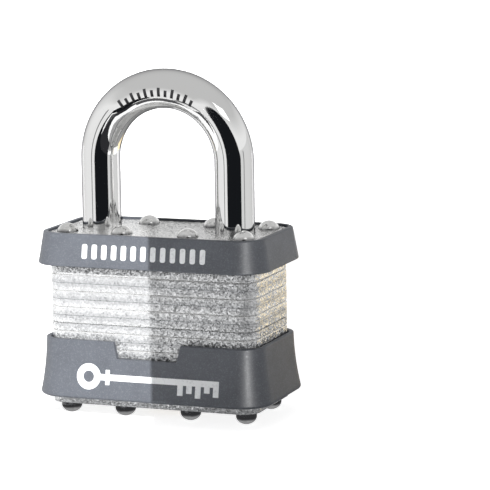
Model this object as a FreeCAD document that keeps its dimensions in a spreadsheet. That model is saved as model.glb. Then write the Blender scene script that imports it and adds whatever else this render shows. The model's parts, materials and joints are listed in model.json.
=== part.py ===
"""A laminated steel padlock, drawn as the pieces it is assembled from.

A stack of stamped plates is riveted into one block. It carries a hardened shackle, two sliding levers that
lock the shackle's legs, and a four-pin cylinder whose plug turns the cam that draws the levers back. A
moulded skirt surrounds each end of the stack.

The frame has +X along the width, from the heel leg to the toe leg, +Y to the back and +Z up. The origin is
at the middle of the footprint, level with the tips of the lower rivet heads. Sizes are in millimetres.
The pieces are drawn with the shackle down and the plug turned so that the levers are drawn back.
"""

import FreeCAD
import Part
import Sketcher
import math
import os

OUT = "parts"
AXIS_TURNS = {
    "Z": FreeCAD.Rotation(),
    "X": FreeCAD.Rotation(FreeCAD.Vector(0, 1, 0), 90),
    "Y": FreeCAD.Rotation(FreeCAD.Vector(1, 0, 0), -90),
}

# Every size that can be set by itself.
DRIVING = {
    # Stack of plates.
    "body_width": 44.45,
    "body_depth": 22.0,
    "body_corner": 3.5,
    "plate_thick": 1.64,
    "plate_roll": 0.3,
    "slide_gap": 0.1,
    "fit_gap": 0.05,
    # Rivets.
    "rivet_span_outer": 38.0,
    "rivet_span_inner": 14.2,
    "rivet_rows": 14.0,
    "rivet_shank": 3.2,
    "rivet_top_dia": 4.4,
    "rivet_top_height": 1.7,
    "rivet_top_round": 1.5,
    "rivet_foot_dia": 4.2,
    "rivet_foot_height": 2.7,
    "rivet_foot_round": 0.95,
    # Shackle.
    "shackle_dia": 7.94,
    "leg_pitch": 29.0,
    "shackle_clear": 24.6,
    "toe_depth": 11.84,
    "foot_length": 2.0,
    "leg_chamfer": 0.8,
    "shackle_lift": 12.6,
    "leg_gap": 0.1,
    # Levers and cam.
    "lever_thick": 1.5,
    "lever_half_width": 4.5,
    "lever_tip_half": 2.8,
    "lever_tip_length": 3.4,
    "lever_wall": 1.55,
    "lever_stroke": 1.5,
    "lever_bite": 1.27,
    "notch_extra": 0.3,
    "cam_long": 3.2,
    "cam_short": 1.8,
    "cam_round": 1.7,
    "cam_play": 0.45,
    "tang_half": 1.0,
    # Cylinder.
    "plug_radius": 5.0,
    "plug_nose_radius": 4.5,
    "plug_recess": 0.3,
    "tail_radius": 2.2,
    "shell_radius": 6.5,
    "bible_half": 2.6,
    "bible_reach": 13.0,
    "cover_thick": 0.5,
    "pin_radius": 1.4,
    "pin_pitch": 3.97,
    "pin_first": 3.3,
    "pin_back": 0.28,
    "pin_bore_end": 0.2,
    "driver_length": 3.1,
    "key_pin_a": 2.9,
    "key_pin_b": 3.5,
    "key_pin_c": 3.1,
    "key_pin_d": 3.8,
    "key_pin_tip": 0.6,
    "key_pin_flat": 0.6,
    "keyway_width": 2.0,
    "keyway_ward": 0.6,
    "keyway_reach": 3.8,
    "keyway_depth": 19.3,
    # Springs.
    "shackle_spring_radius": 3.0,
    "shackle_spring_wire": 0.35,
    "shackle_spring_turns": 6.0,
    "lever_spring_radius": 0.52,
    "lever_spring_wire": 0.14,
    "lever_spring_turns": 8.0,
    "pin_spring_radius": 1.05,
    "pin_spring_wire": 0.18,
    "pin_spring_turns": 6.0,
    # Moulded skirts.
    "skirt_wall": 0.95,
    "skirt_edge": 0.25,
    "rib_reach": 1.0,
    "rib_thick": 1.44,
    "rib_groove": 1.2,
    "upper_rim": 0.36,
    "upper_height": 6.5,
    "upper_top_out": 1.41,
    "upper_foot_out": 2.59,
    "lower_foot": 1.58,
    "lower_height": 11.75,
    "lower_top_out": 1.32,
    "lower_mid_out": 1.75,
    "lower_foot_out": 2.81,
    "lower_web": 1.0,
    "lower_round": 0.6,
    "notch_depth": 3.4,
    "notch_top": 14.5,
    "notch_bottom": 12.8,
}
PLATES = 21
FIRST_CYLINDER_PLATE = 1
HEEL_FLOOR_PLATE = 2
DIVIDER_PLATE = 13
SPACER_PLATE = 14
HEEL_LEVER_PLATE = 15
TOE_LEVER_PLATE = 16
LOWER_RIB_PLATE = 3
UPPER_RIB_PLATE = 18
SEAM_FLIP_PLATE = 10
PIN_STACKS = "abcd"


class Size:
    """A size that knows both its number and the sheet formula that gives it."""

    def __init__(self, formula, value):
        self.formula = formula
        self.value = value

    @staticmethod
    def of(other):
        return other if isinstance(other, Size) else Size(repr(other), float(other))

    def __add__(self, other):
        other = Size.of(other)
        return Size(f"({self.formula} + {other.formula})", self.value + other.value)

    def __sub__(self, other):
        other = Size.of(other)
        return Size(f"({self.formula} - {other.formula})", self.value - other.value)

    def __mul__(self, other):
        other = Size.of(other)
        return Size(f"({self.formula} * {other.formula})", self.value * other.value)

    def __truediv__(self, other):
        other = Size.of(other)
        return Size(f"({self.formula} / {other.formula})", self.value / other.value)

    def __neg__(self):
        return self * -1


class Sizes:
    """The driving dimensions, each read as an attribute."""

    def __init__(self, doc):
        sheet = doc.addObject("Spreadsheet::Sheet", "Sizes")
        for row, (alias, value) in enumerate(DRIVING.items(), start=1):
            sheet.set(f"A{row}", alias)
            sheet.set(f"B{row}", str(value))
            sheet.setAlias(f"B{row}", alias)
        doc.recompute()

    def __getattr__(self, alias):
        return Size(f"Sizes.{alias}", DRIVING[alias])


doc = FreeCAD.newDocument("padlock")
S = Sizes(doc)
ZERO = Size.of(0)
parts = []

# Heights and reaches that several pieces share.
base = S.rivet_foot_height
stack_top = base + S.plate_thick * PLATES
leg_x = S.leg_pitch / 2
leg_radius = S.shackle_dia / 2
leg_hole = leg_radius + S.leg_gap
leg_face = leg_x - leg_radius
toe_end = stack_top - S.toe_depth
arch_centre = stack_top + S.shackle_clear - leg_face


def level(plate):
    """Height of a plate's underside."""
    return base + S.plate_thick * plate


lever_play = (S.plate_thick - S.lever_thick) / 2
heel_lever_z = level(HEEL_LEVER_PLATE) + lever_play
toe_lever_z = level(TOE_LEVER_PLATE) + lever_play
neck_low = heel_lever_z - S.shackle_lift - S.notch_extra
neck_high = heel_lever_z - S.shackle_lift + S.lever_thick + S.notch_extra
heel_end = neck_low - S.foot_length
notch_flat = leg_face + S.lever_bite + S.notch_extra
lever_tip_x = leg_face + S.lever_bite - S.lever_stroke
window_half_x = S.cam_long + S.cam_play
window_half_y = S.cam_long + S.slide_gap
lever_end = window_half_x + S.lever_wall
spring_wall = leg_face - S.lever_wall / 2
shell_low = level(FIRST_CYLINDER_PLATE) + S.fit_gap
shell_high = level(DIVIDER_PLATE) - S.fit_gap
plug_bore = S.plug_radius + S.fit_gap
pin_bore = S.pin_radius + S.fit_gap
plug_face = base + S.plug_recess
cam_low = level(HEEL_LEVER_PLATE) + S.slide_gap
cam_top = level(TOE_LEVER_PLATE + 1) - S.slide_gap
driver_near = S.plug_radius + S.fit_gap * 3


def stack_height(stack):
    """Height of a pin stack's axis."""
    return level(FIRST_CYLINDER_PLATE) + S.pin_first + S.pin_pitch * stack


def keep(obj, label):
    """Marks an object as a finished piece; its label names its file."""
    obj.Label = label
    parts.append(obj)
    return obj


# Helpers for sketches.


def origin_part(body, role):
    """One of a body's own origin planes or axes."""
    return next(f for f in body.Origin.OriginFeatures if f.Role == role)


def new_body(name):
    return doc.addObject("PartDesign::Body", name)


def new_sketch(body, name, plane="XY_Plane", offset=None):
    """A sketch on one of the body's planes, moved along its normal by offset."""
    sketch = body.newObject("Sketcher::SketchObject", name)
    sketch.AttachmentSupport = [(origin_part(body, plane), "")]
    sketch.MapMode = "FlatFace"
    if offset is not None:
        sketch.setExpression("AttachmentOffset.Base.z", offset.formula)
    return sketch


def bind_constraint(sketch, size, kind, *where):
    """Adds a dimension that follows a formula."""
    index = sketch.addConstraint(Sketcher.Constraint(kind, *where, size.value))
    sketch.setExpression(f"Constraints[{index}]", size.formula)


def fix_point(sketch, geometry, point, x, y):
    """Holds a sketch point at x, y from the sketch's origin."""
    bind_constraint(sketch, x, "DistanceX", -1, 1, geometry, point)
    bind_constraint(sketch, y, "DistanceY", -1, 1, geometry, point)


def vector(x, y):
    return FreeCAD.Vector(x.value, y.value, 0)


def circle(sketch, x, y, radius):
    shape = Part.Circle(vector(x, y), FreeCAD.Vector(0, 0, 1), radius.value)
    index = sketch.addGeometry(shape)
    fix_point(sketch, index, 3, x, y)
    bind_constraint(sketch, radius, "Radius", index)


def polygon(sketch, points):
    """A closed outline of straight lines through points that are all held by formulas."""
    lines = []
    for (ax, ay), (bx, by) in zip(points, points[1:] + points[:1]):
        lines.append(sketch.addGeometry(Part.LineSegment(vector(ax, ay), vector(bx, by))))
    for here, after in zip(lines, lines[1:] + lines[:1]):
        sketch.addConstraint(Sketcher.Constraint("Coincident", here, 2, after, 1))
    for line, (x, y) in zip(lines, points):
        fix_point(sketch, line, 1, x, y)


def rectangle(sketch, low_x, low_y, high_x, high_y):
    polygon(sketch, [(low_x, low_y), (high_x, low_y), (high_x, high_y), (low_x, high_y)])


def rounded_rectangle(sketch, width, depth, radius):
    """A rectangle about the origin with round corners."""
    half_x, half_y = width / 2, depth / 2
    in_x, in_y = half_x - radius, half_y - radius
    arcs = []
    for sign_x, sign_y, start in ((1, 1, 0), (-1, 1, 90), (-1, -1, 180), (1, -1, 270)):
        centre = vector(in_x * sign_x, in_y * sign_y)
        ring = Part.Circle(centre, FreeCAD.Vector(0, 0, 1), radius.value)
        arc = Part.ArcOfCircle(ring, math.radians(start), math.radians(start + 90))
        index = sketch.addGeometry(arc)
        fix_point(sketch, index, 3, in_x * sign_x, in_y * sign_y)
        arcs.append(index)
    bind_constraint(sketch, radius, "Radius", arcs[0])
    for index in arcs[1:]:
        sketch.addConstraint(Sketcher.Constraint("Equal", arcs[0], index))
    for here, after in zip(arcs, arcs[1:] + arcs[:1]):
        start = sketch.getPoint(here, 2)
        end = sketch.getPoint(after, 1)
        line = sketch.addGeometry(Part.LineSegment(start, end))
        sketch.addConstraint(Sketcher.Constraint("Tangent", here, 2, line, 1))
        sketch.addConstraint(Sketcher.Constraint("Tangent", line, 2, after, 1))


# Helpers for features.


def pad(body, sketch, length, name="Pad"):
    feature = body.newObject("PartDesign::Pad", name)
    feature.Profile = sketch
    feature.setExpression("Length", length.formula)
    return feature


def pocket(body, sketch, length, name="Pocket", midplane=False, reverse=False):
    """Cuts a sketch's outline into the body; reverse cuts along the sketch's normal."""
    feature = body.newObject("PartDesign::Pocket", name)
    feature.Profile = sketch
    feature.setExpression("Length", length.formula)
    feature.Reversed = reverse
    feature.Midplane = midplane
    before = feature.BaseFeature
    doc.recompute()
    if feature.Shape.Volume >= before.Shape.Volume - 1e-6:
        raise ValueError(f"{body.Name}.{name} cuts nothing")
    return feature


def flat_faces(shape, height):
    """The level faces of a shape at a height."""
    near = 1e-4
    return [
        face
        for face in shape.Faces
        if face.BoundBox.ZLength < near and abs(face.BoundBox.ZMin - height) < near
    ]


def edge_names(shape, wanted):
    return [
        f"Edge{number}"
        for number, edge in enumerate(shape.Edges, start=1)
        if any(edge.isSame(other) for other in wanted)
    ]


def outer_edges(shape, height):
    """Names of the edges round the outside of the largest level face at a height."""
    face = max(flat_faces(shape, height), key=lambda f: f.BoundBox.DiagonalLength)
    return edge_names(shape, face.OuterWire.Edges)


def all_flat_edges(shape, height):
    """Names of the outside edges of every level face at a height."""
    wanted = [edge for face in flat_faces(shape, height) for edge in face.OuterWire.Edges]
    return edge_names(shape, wanted)


def dress(body, base_feature, edges, size, kind="Fillet"):
    """A fillet or chamfer on named edges of a feature."""
    feature = body.newObject(f"PartDesign::{kind}", kind)
    feature.Base = (base_feature, edges)
    feature.setExpression("Radius" if kind == "Fillet" else "Size", size.formula)
    doc.recompute()
    return feature


def place(obj, x=ZERO, y=ZERO, z=ZERO, axis="Z"):
    """Puts an object at x, y, z, its own +Z turned to the named axis."""
    obj.Placement = FreeCAD.Placement(
        FreeCAD.Vector(x.value, y.value, z.value), AXIS_TURNS[axis]
    )
    obj.setExpression("Placement.Base.x", x.formula)
    obj.setExpression("Placement.Base.y", y.formula)
    obj.setExpression("Placement.Base.z", z.formula)
    return obj


def cylinder(name, radius, height, x=ZERO, y=ZERO, z=ZERO, axis="Z"):
    solid = doc.addObject("Part::Cylinder", name)
    solid.setExpression("Radius", radius.formula)
    solid.setExpression("Height", height.formula)
    return place(solid, x, y, z, axis)


def cone(name, radius, tip_radius, height, x=ZERO, y=ZERO, z=ZERO, axis="Z"):
    solid = doc.addObject("Part::Cone", name)
    solid.setExpression("Radius1", tip_radius.formula)
    solid.setExpression("Radius2", radius.formula)
    solid.setExpression("Height", height.formula)
    return place(solid, x, y, z, axis)


def box(name, low, high):
    """A box from its low corner to its high corner, each three sizes."""
    solid = doc.addObject("Part::Box", name)
    for side, near, far in zip(("Length", "Width", "Height"), low, high):
        solid.setExpression(side, (far - near).formula)
    return place(solid, *low)


def fuse(name, shapes):
    joined = doc.addObject("Part::MultiFuse", name)
    joined.Shapes = shapes
    joined.Refine = True
    return joined


def cut(name, base_shape, tools):
    result = doc.addObject("Part::Cut", name)
    result.Base = base_shape
    result.Tool = tools[0] if len(tools) == 1 else fuse(f"{name}_tools", tools)
    return result


# The stack of plates.


def rivet_places():
    """The eight rivets' centres, as sizes."""
    for span in (S.rivet_span_outer, S.rivet_span_inner):
        for side in (-1, 1):
            for row in (-1, 1):
                yield span / 2 * side, S.rivet_rows / 2 * row


def plate_label(number):
    if number == 0:
        return "bottom_plate"
    if number == PLATES - 1:
        return "top_plate"
    names = {
        DIVIDER_PLATE: "divider_plate",
        SPACER_PLATE: "spacer_plate",
        HEEL_LEVER_PLATE: "heel_lever_plate",
        TOE_LEVER_PLATE: "toe_lever_plate",
    }
    kind = "cylinder_plate" if number < DIVIDER_PLATE else "guide_plate"
    return names.get(number, f"{kind}_{number:02d}")


def plate_inset(number):
    """How far a plate's outline is drawn in, to leave the groove that a skirt's rib fills."""
    return S.rib_groove if number in (LOWER_RIB_PLATE, UPPER_RIB_PLATE) else ZERO


def edge_rolls_up(number):
    """True where the rounded side of the stamped edge faces up; the stack is turned over once."""
    return number % 2 == (1 if number >= SEAM_FLIP_PLATE else 0)


def plate(number):
    """One lamination: outline, rivet holes, and the holes that its height calls for."""
    body = new_body(f"Plate{number:02d}")
    inset = plate_inset(number)
    outline = new_sketch(body, f"Outline{number:02d}")
    rounded_rectangle(
        outline,
        S.body_width - inset * 2,
        S.body_depth - inset * 2,
        S.body_corner - inset,
    )
    for x, y in rivet_places():
        circle(outline, x, y, S.rivet_shank / 2 + S.fit_gap)
    if number >= HEEL_FLOOR_PLATE:
        circle(outline, -leg_x, ZERO, leg_hole)
    if number >= DIVIDER_PLATE:
        circle(outline, leg_x, ZERO, leg_hole)
    if number in (DIVIDER_PLATE, SPACER_PLATE):
        circle(outline, ZERO, ZERO, S.tail_radius + S.fit_gap)
    if number == 0:
        circle(outline, ZERO, ZERO, S.plug_nose_radius + S.slide_gap)
    solid = pad(body, outline, S.plate_thick)
    doc.recompute()
    if FIRST_CYLINDER_PLATE <= number < DIVIDER_PLATE:
        solid = cylinder_cavity(body, number)
    if number in (HEEL_LEVER_PLATE, TOE_LEVER_PLATE):
        solid = lever_cavity(body, 1 if number == HEEL_LEVER_PLATE else -1)
    if number not in (LOWER_RIB_PLATE, UPPER_RIB_PLATE):
        rolled = S.plate_thick.value if edge_rolls_up(number) else 0.0
        dress(body, solid, outer_edges(solid.Shape, rolled), S.plate_roll)
    place(body, z=level(number))
    return keep(body, plate_label(number))


def cylinder_cavity(body, number):
    """The pear-shaped opening that holds the cylinder's shell."""
    barrel = new_sketch(body, f"Barrel{number:02d}")
    circle(barrel, ZERO, ZERO, S.shell_radius + S.fit_gap)
    pocket(body, barrel, S.plate_thick, "BarrelHole", reverse=True)
    bible = new_sketch(body, f"Bible{number:02d}")
    half = S.bible_half + S.fit_gap
    reach = S.bible_reach + S.cover_thick + S.fit_gap
    rectangle(bible, ZERO, -half, reach, half)
    return pocket(body, bible, S.plate_thick, "BibleHole", reverse=True)


def lever_cavity(body, side):
    """The channel that a lever slides in, open to its leg's hole, with its spring's seat at the far end."""
    channel = new_sketch(body, "Channel")
    gap = S.slide_gap
    shoulder = lever_tip_x - S.lever_tip_length + S.lever_stroke + gap
    tee(channel, -side, notch_flat, shoulder, spring_wall, S.lever_tip_half + gap, S.lever_half_width + gap)
    return pocket(body, channel, S.plate_thick, "LeverChannel", reverse=True)


def tee(sketch, side, tip, shoulder, tail, tip_half, half):
    """A T-shaped outline whose narrow end points along +X or -X, the way side says."""
    corners = [
        (-tail, -half),
        (shoulder, -half),
        (shoulder, -tip_half),
        (tip, -tip_half),
        (tip, tip_half),
        (shoulder, tip_half),
        (shoulder, half),
        (-tail, half),
    ]
    polygon(sketch, [(x * side, y) for x, y in corners])


def rivets():
    """The eight rivets, as separate solids in one node."""
    body = new_body("Rivets")
    body.AllowCompound = True
    circles = {"Shank": S.rivet_shank / 2, "Foot": S.rivet_foot_dia / 2, "Cap": S.rivet_top_dia / 2}
    starts = {"Shank": ZERO, "Foot": ZERO, "Cap": stack_top}
    lengths = {"Shank": stack_top, "Foot": S.rivet_foot_height, "Cap": S.rivet_top_height}
    for name, radius in circles.items():
        sketch = new_sketch(body, f"Rivet{name}", offset=starts[name])
        for x, y in rivet_places():
            circle(sketch, x, y, radius)
        pad(body, sketch, lengths[name], f"{name}Pad")
    doc.recompute()
    solid = body.Tip
    tip = stack_top + S.rivet_top_height
    for height, round_edge in ((ZERO, S.rivet_foot_round), (tip, S.rivet_top_round)):
        solid = dress(body, solid, all_flat_edges(solid.Shape, height.value), round_edge)
    return keep(body, "rivets")


# Shackle.


def shackle():
    """One bar bent to a U: the long heel leg stays in the body and the short toe leg lifts out."""
    body = new_body("Shackle")
    path = new_sketch(body, "Path", "XZ_Plane")
    heel = path.addGeometry(Part.LineSegment(vector(-leg_x, heel_end), vector(-leg_x, arch_centre)))
    ring = Part.Circle(vector(ZERO, arch_centre), FreeCAD.Vector(0, 0, 1), leg_x.value)
    arch = path.addGeometry(Part.ArcOfCircle(ring, 0, math.pi))
    toe = path.addGeometry(Part.LineSegment(vector(leg_x, arch_centre), vector(leg_x, toe_end)))
    path.addConstraint(Sketcher.Constraint("Coincident", heel, 2, arch, 2))
    path.addConstraint(Sketcher.Constraint("Coincident", arch, 1, toe, 1))
    fix_point(path, heel, 1, -leg_x, heel_end)
    fix_point(path, heel, 2, -leg_x, arch_centre)
    fix_point(path, toe, 1, leg_x, arch_centre)
    fix_point(path, toe, 2, leg_x, toe_end)
    bind_constraint(path, arch_centre, "DistanceY", -1, 1, arch, 3)
    section = new_sketch(body, "Section", offset=heel_end)
    circle(section, -leg_x, ZERO, leg_radius)
    bar = body.newObject("PartDesign::AdditivePipe", "Bar")
    bar.Profile = section
    bar.Spine = (path, [])
    doc.recompute()
    solid = body.Tip
    for end in (heel_end, toe_end):
        edges = outer_edges(solid.Shape, end.value)
        solid = dress(body, solid, edges, S.leg_chamfer, "Chamfer")
    lever_notch(body, -1, heel_lever_z)
    lever_notch(body, 1, toe_lever_z)
    holding_neck(body)
    return keep(body, "shackle")


def lever_notch(body, side, low):
    """The flat-bottomed notch that a lever's tip slides into."""
    notch = new_sketch(body, "Notch", "XZ_Plane")
    near, far = leg_face - S.notch_extra, notch_flat
    low_x, high_x = (near, far) if side > 0 else (-far, -near)
    gap = S.notch_extra
    rectangle(notch, low_x, low - gap, high_x, low + S.lever_thick + gap)
    pocket(body, notch, S.shackle_dia * 2, "LeverNotch", midplane=True)


def holding_neck(body):
    """The turned neck that the heel lever rests in when the shackle is up, which keeps it in the body."""
    neck = new_sketch(body, "Neck", "XZ_Plane")
    rectangle(neck, -notch_flat, neck_low, -leg_face + S.notch_extra, neck_high)
    axis = neck.addGeometry(Part.LineSegment(vector(-leg_x, neck_low), vector(-leg_x, neck_high)))
    neck.toggleConstruction(axis)
    fix_point(neck, axis, 1, -leg_x, neck_low)
    fix_point(neck, axis, 2, -leg_x, neck_high)
    groove = body.newObject("PartDesign::Groove", "NeckGroove")
    groove.Profile = neck
    groove.ReferenceAxis = (neck, ["Axis0"])
    groove.Angle = 360
    before = groove.BaseFeature
    doc.recompute()
    if groove.Shape.Volume >= before.Shape.Volume:
        raise ValueError("the shackle's neck cuts nothing")


# Locking parts.


def lever(name, side, low):
    """A sliding plate with a window for the cam; side is the way it moves to lock."""
    body = new_body(name)
    outline = new_sketch(body, "LeverOutline")
    shoulder = lever_tip_x - S.lever_tip_length
    tee(outline, side, lever_tip_x, shoulder, lever_end, S.lever_tip_half, S.lever_half_width)
    pad(body, outline, S.lever_thick)
    window = new_sketch(body, "Window")
    rectangle(window, -window_half_x, -window_half_y, window_half_x, window_half_y)
    pocket(body, window, S.lever_thick, "CamWindow", reverse=True)
    place(body, z=low)
    return keep(body, "lever_heel" if side < 0 else "lever_toe")


def cam():
    """The block that turns with the plug and pushes both levers back."""
    body = new_body("Cam")
    outline = new_sketch(body, "CamOutline")
    rounded_rectangle(outline, S.cam_long * 2, S.cam_short * 2, S.cam_round)
    hole = S.tang_half + S.fit_gap
    rectangle(outline, -hole, -hole, hole, hole)
    pad(body, outline, cam_top - cam_low)
    place(body, z=cam_low)
    return keep(body, "cam")


def plug():
    """The turning core of the cylinder: nose, barrel, tail and the square tang that carries the cam."""
    body = new_body("Plug")
    barrel_low = shell_low
    for name, radius, low, high in (
        ("Nose", S.plug_nose_radius, plug_face, barrel_low),
        ("Barrel", S.plug_radius, barrel_low, shell_high),
        ("Tail", S.tail_radius, shell_high, cam_low - S.fit_gap),
    ):
        sketch = new_sketch(body, f"Plug{name}", offset=low)
        circle(sketch, ZERO, ZERO, radius)
        pad(body, sketch, high - low, f"{name}Pad")
    tang = new_sketch(body, "Tang", offset=cam_low - S.fit_gap)
    half = S.tang_half
    rectangle(tang, -half, -half, half, half)
    pad(body, tang, cam_top - cam_low + S.fit_gap, "TangPad")
    keyway = new_sketch(body, "Keyway", offset=plug_face)
    near, far, ward = -S.keyway_width / 2, S.keyway_width / 2, S.keyway_ward
    reach, step = S.keyway_reach, S.keyway_reach / 3
    polygon(
        keyway,
        [
            (near, -reach),
            (far - ward, -reach),
            (far - ward, -step),
            (far, -step),
            (far, step),
            (far, reach),
            (near + ward, reach),
            (near + ward, step),
            (near, step),
        ],
    )
    pocket(body, keyway, S.keyway_depth, "KeywaySlot", reverse=True)
    for stack in range(len(PIN_STACKS)):
        bore = new_sketch(body, f"PinBore{stack}", "XZ_Plane", offset=S.pin_bore_end)
        circle(bore, ZERO, stack_height(stack), pin_bore)
        pocket(body, bore, S.plug_radius * 2, f"PinHole{stack}")
    return keep(body, "plug")


def cylinder_shell():
    """The fixed part of the cylinder: a barrel for the plug and a block on one side for the pins."""
    height = shell_high - shell_low
    barrel = cylinder("ShellBarrel", S.shell_radius, height, z=shell_low)
    bible = box(
        "ShellBlock", (ZERO, -S.bible_half, shell_low), (S.bible_reach, S.bible_half, shell_high)
    )
    bores = [cylinder("ShellBore", plug_bore, height, z=shell_low)]
    for stack in range(len(PIN_STACKS)):
        z = stack_height(stack)
        bores.append(cylinder("ShellPinHole", pin_bore, S.bible_reach, z=z, axis="X"))
    return keep(cut("Shell", fuse("ShellSolid", [barrel, bible]), bores), "cylinder_shell")


def pin_cover():
    """The strip that closes the four pin holes."""
    far = S.bible_reach + S.cover_thick
    low = (S.bible_reach, -S.bible_half, shell_low)
    return keep(box("PinCover", low, (far, S.bible_half, shell_high)), "pin_cover")


def key_pin(stack):
    """A pin with a coned tip that stands on the key; its back lies level with the plug's surface."""
    letter = PIN_STACKS[stack]
    length = getattr(S, f"key_pin_{letter}")
    z = stack_height(stack)
    tip_y = S.plug_radius - S.pin_back - length
    tip = cone(
        "KeyPinTip", S.pin_radius, S.key_pin_flat, S.key_pin_tip, y=tip_y, z=z, axis="Y"
    )
    straight = length - S.key_pin_tip
    shaft = cylinder("KeyPinShaft", S.pin_radius, straight, y=tip_y + S.key_pin_tip, z=z, axis="Y")
    return keep(fuse(f"KeyPin{letter.upper()}", [tip, shaft]), f"key_pin_{letter}")


def driver_pin(stack):
    letter = PIN_STACKS[stack]
    pin = cylinder(
        "DriverPin", S.pin_radius, S.driver_length, x=driver_near, z=stack_height(stack), axis="X"
    )
    return keep(pin, f"driver_pin_{letter}")


# Springs.


def spring(label, radius, wire, turns, length, x, z, axis="Z", y=ZERO):
    """A coil of round wire that starts at x, y, z and runs along an axis; wire is the wire's radius."""
    rise = length - wire * 2
    helix = doc.addObject("Part::Helix", f"{label}_path")
    helix.setExpression("Radius", radius.formula)
    helix.setExpression("Height", rise.formula)
    helix.setExpression("Pitch", (rise / turns).formula)
    section = doc.addObject("Part::Circle", f"{label}_wire")
    section.setExpression("Radius", wire.formula)
    section.Placement.Rotation = FreeCAD.Rotation(FreeCAD.Vector(1, 0, 0), 90)
    section.setExpression("Placement.Base.x", radius.formula)
    sweep = doc.addObject("Part::Sweep", label)
    sweep.Sections = [section]
    sweep.Spine = (helix, [])
    sweep.Solid = True
    sweep.Frenet = True
    sweep.Transition = "Transformed"
    if axis == "Z":
        place(sweep, x, y, z + wire)
    else:
        place(sweep, x + wire, y, z, axis)
    return keep(sweep, label)


def springs():
    spring(
        "shackle_spring",
        S.shackle_spring_radius,
        S.shackle_spring_wire,
        S.shackle_spring_turns,
        heel_end - level(HEEL_FLOOR_PLATE),
        -leg_x,
        level(HEEL_FLOOR_PLATE),
    )
    gap = spring_wall - lever_end
    for label, start, low in (
        ("lever_spring_heel", lever_end, heel_lever_z),
        ("lever_spring_toe", -spring_wall, toe_lever_z),
    ):
        middle = low + S.lever_thick / 2
        spring(
            label, S.lever_spring_radius, S.lever_spring_wire, S.lever_spring_turns, gap, start, middle, "X"
        )
    start = driver_near + S.driver_length
    for stack, letter in enumerate(PIN_STACKS):
        spring(
            f"pin_spring_{letter}",
            S.pin_spring_radius,
            S.pin_spring_wire,
            S.pin_spring_turns,
            S.bible_reach - start,
            start,
            stack_height(stack),
            "X",
        )


# Moulded skirts.


def section_at(body, name, height, outside):
    """A copy of the plates' outline at a height, grown by outside all round."""
    sketch = new_sketch(body, name, offset=height)
    rounded_rectangle(
        sketch,
        S.body_width + outside * 2,
        S.body_depth + outside * 2,
        S.body_corner + outside,
    )
    return sketch


def loft(body, kind, name, sections):
    feature = body.newObject(f"PartDesign::{kind}", name)
    feature.Profile = sections[0]
    feature.Sections = sections[1:]
    feature.Ruled = False
    doc.recompute()
    return feature


def flared_wall(body, levels):
    """A skirt of even thickness whose outside passes through each height and distance in levels."""
    outside = [section_at(body, f"Out{n}", height, out) for n, (height, out) in enumerate(levels)]
    loft(body, "AdditiveLoft", "Outside", outside)
    inside = [
        section_at(body, f"In{n}", height, out - S.skirt_wall) for n, (height, out) in enumerate(levels)
    ]
    loft(body, "SubtractiveLoft", "Inside", inside)


def inner_ring(body, name, low, thick, reach_in, reach_out):
    """A flat ring inside the skirt, from reach_out beyond the plates' outline to reach_in within it."""
    sketch = section_at(body, name, low, reach_out)
    rounded_rectangle(
        sketch,
        S.body_width - reach_in * 2,
        S.body_depth - reach_in * 2,
        S.body_corner - reach_in,
    )
    return pad(body, sketch, thick, f"{name}Pad")


def rib_low(number):
    return level(number) + (S.plate_thick - S.rib_thick) / 2


def upper_skirt():
    """The moulded skirt round the top of the stack."""
    body = new_body("UpperSkirt")
    top = stack_top + S.upper_rim
    foot = top - S.upper_height
    flared_wall(body, [(foot, S.upper_foot_out), (top, S.upper_top_out)])
    beyond = (S.upper_top_out + S.upper_foot_out - S.skirt_wall) / 2
    inner_ring(body, "Rib", rib_low(UPPER_RIB_PLATE), S.rib_thick, S.rib_reach, beyond)
    doc.recompute()
    solid = body.Tip
    for height in (foot, top):
        solid = dress(body, solid, outer_edges(solid.Shape, height.value), S.skirt_edge)
    return keep(body, "upper_skirt")


def lower_skirt():
    """The moulded skirt round the foot of the stack, notched at the front of its top edge."""
    body = new_body("LowerSkirt")
    foot = base + S.lower_foot
    top = foot + S.lower_height
    middle = foot + S.lower_height / 2
    flared_wall(
        body, [(foot, S.lower_foot_out), (middle, S.lower_mid_out), (top, S.lower_top_out)]
    )
    beyond = S.lower_mid_out - S.skirt_wall / 2
    inner_ring(body, "Rib", rib_low(LOWER_RIB_PLATE), S.rib_thick, S.rib_reach, beyond)
    inner_ring(body, "Web", foot, S.lower_web, -S.fit_gap, S.lower_foot_out - S.skirt_wall / 2)
    notch = new_sketch(body, "FrontNotch", "XZ_Plane")
    wide, narrow, sill = S.notch_top / 2, S.notch_bottom / 2, top - S.notch_depth
    polygon(notch, [(-narrow, sill), (narrow, sill), (wide, top), (-wide, top)])
    pocket(body, notch, S.body_depth, "NotchCut", reverse=True)
    doc.recompute()
    solid = body.Tip
    solid = dress(body, solid, outer_edges(solid.Shape, foot.value), S.lower_round)
    dress(body, solid, outer_edges(solid.Shape, top.value), S.skirt_edge)
    return keep(body, "lower_skirt")


# Everything, checked and written.


def build():
    for number in range(PLATES):
        plate(number)
    rivets()
    upper_skirt()
    lower_skirt()
    shackle()
    lever("LeverHeel", -1, heel_lever_z)
    lever("LeverToe", 1, toe_lever_z)
    cam()
    plug()
    cylinder_shell()
    pin_cover()
    for stack in range(len(PIN_STACKS)):
        key_pin(stack)
        driver_pin(stack)
    springs()
    doc.recompute()


def check():
    """Stops the build if any object failed to rebuild or any piece isn't sound."""
    for obj in doc.Objects:
        if "Invalid" in obj.State or "Error" in obj.State:
            raise ValueError(f"{obj.Name} did not rebuild: {obj.State}")
    for part in parts:
        shape = part.Shape
        if shape.isNull() or not shape.isValid() or shape.Volume <= 0:
            raise ValueError(f"{part.Label} is not a sound solid")


def export():
    os.makedirs(OUT, exist_ok=True)
    for part in parts:
        part.Shape.exportStep(f"{OUT}/{part.Label}.step")


build()
check()
export()
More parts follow.
